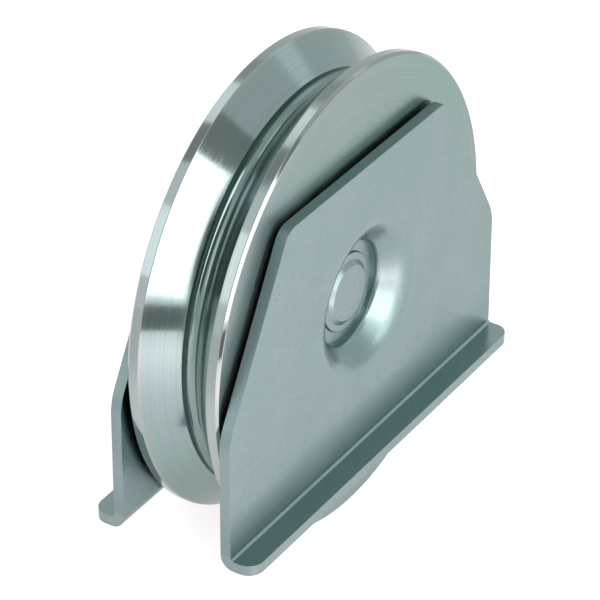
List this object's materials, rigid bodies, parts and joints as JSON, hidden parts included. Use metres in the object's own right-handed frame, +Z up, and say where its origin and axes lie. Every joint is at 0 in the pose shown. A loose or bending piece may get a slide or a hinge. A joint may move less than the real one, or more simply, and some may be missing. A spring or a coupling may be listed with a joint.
{
  "type": "sliding gate wheel with bracket",
  "caption": "Grooved steel wheel on a sealed ball bearing between two pressed side plates with outward lips, riveted together by its axle.",
  "frame": {"origin": "centre of the wheel, on the axle's axis, halfway between the side plates", "axes": "+X the direction of travel, +Y along the axle from the front plate to the back plate, +Z up, from the rail towards the gate"},
  "size_m": [0.122, 0.0458, 0.12],
  "materials": {
    "plated_sheet": "smooth zinc plating on pressed sheet, satin",
    "axle_steel": "zinc plating on a turned and riveted pin, satin",
    "turned_steel": "zinc plating on turned steel, semi-gloss",
    "spring_steel": "blackened spring steel, satin",
    "bearing_steel": "ground and polished",
    "cage_steel": "pressed, lightly oiled",
    "seal_rubber": "moulded, matt"
  },
  "bodies": {
    "bracket": {"front_side_plate": "plated_sheet", "back_side_plate": "plated_sheet", "axle_pin": "axle_steel", "bearing_inner_ring": "bearing_steel"},
    "rolling_wheel": {"wheel": "turned_steel", "retaining_ring": "spring_steel", "bearing_outer_ring": "bearing_steel", "bearing_seal_front": "seal_rubber", "bearing_seal_back": "seal_rubber"},
    "ball_cage": {"bearing_cage_front": "cage_steel", "bearing_cage_back": "cage_steel", "bearing_cage_rivets": "cage_steel", "bearing_ball_1": "bearing_steel", "bearing_ball_2": "bearing_steel", "bearing_ball_3": "bearing_steel", "bearing_ball_4": "bearing_steel", "bearing_ball_5": "bearing_steel", "bearing_ball_6": "bearing_steel", "bearing_ball_7": "bearing_steel", "bearing_ball_8": "bearing_steel"}
  },
  "joints": [
    {"name": "wheel_spin", "type": "hinge", "parent": "bracket", "child": "rolling_wheel", "pos_m": [0, 0, 0], "axis": [0, 1, 0], "continuous": true},
    {"name": "cage_spin", "type": "hinge", "parent": "bracket", "child": "ball_cage", "pos_m": [0, 0, 0], "axis": [0, 1, 0], "continuous": true}
  ],
  "couplings": [
    {"joint": "cage_spin", "follows": "wheel_spin", "ratio": 0.6185}
  ]
}
